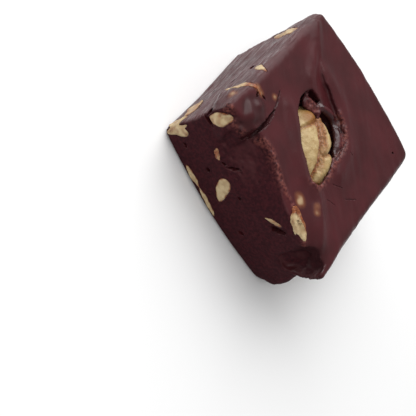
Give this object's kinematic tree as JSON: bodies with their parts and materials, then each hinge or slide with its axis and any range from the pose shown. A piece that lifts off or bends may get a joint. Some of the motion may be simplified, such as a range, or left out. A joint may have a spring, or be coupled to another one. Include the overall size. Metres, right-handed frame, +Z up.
{
  "type": "walnut fudge",
  "caption": "Hand-cut block of chocolate fudge with a walnut half sunk in its poured top and sliced walnut pieces showing in its knife-cut sides.",
  "frame": {"origin": "on the flat base, under the middle of the block's bounds", "axes": "+Z up out of the poured top, -Y out of the front knife cut, -X out of the left knife cut"},
  "size_m": [0.0598, 0.0666, 0.03],
  "materials": {
    "fudge": "satin chocolate fudge, smoother on the poured top",
    "walnut": "matte cream walnut kernel with tan skin"
  },
  "bodies": {
    "root": {"fudge": "fudge", "walnut_half": "walnut", "walnut_corner_slice": "walnut", "walnut_front_oval": "walnut", "walnut_front_small": "walnut", "walnut_front_flake": "walnut", "walnut_front_foot": "walnut", "walnut_base_slice_1": "walnut", "walnut_base_slice_2": "walnut", "walnut_left_foot": "walnut", "walnut_left_long": "walnut", "walnut_left_small": "walnut", "walnut_edge": "walnut", "walnut_lump_rim": "walnut", "walnut_right_1": "walnut", "walnut_right_2": "walnut", "walnut_right_3": "walnut", "walnut_right_4": "walnut", "walnut_back_1": "walnut", "walnut_back_2": "walnut", "walnut_back_3": "walnut", "walnut_back_4": "walnut"}
  },
  "joints": []
}
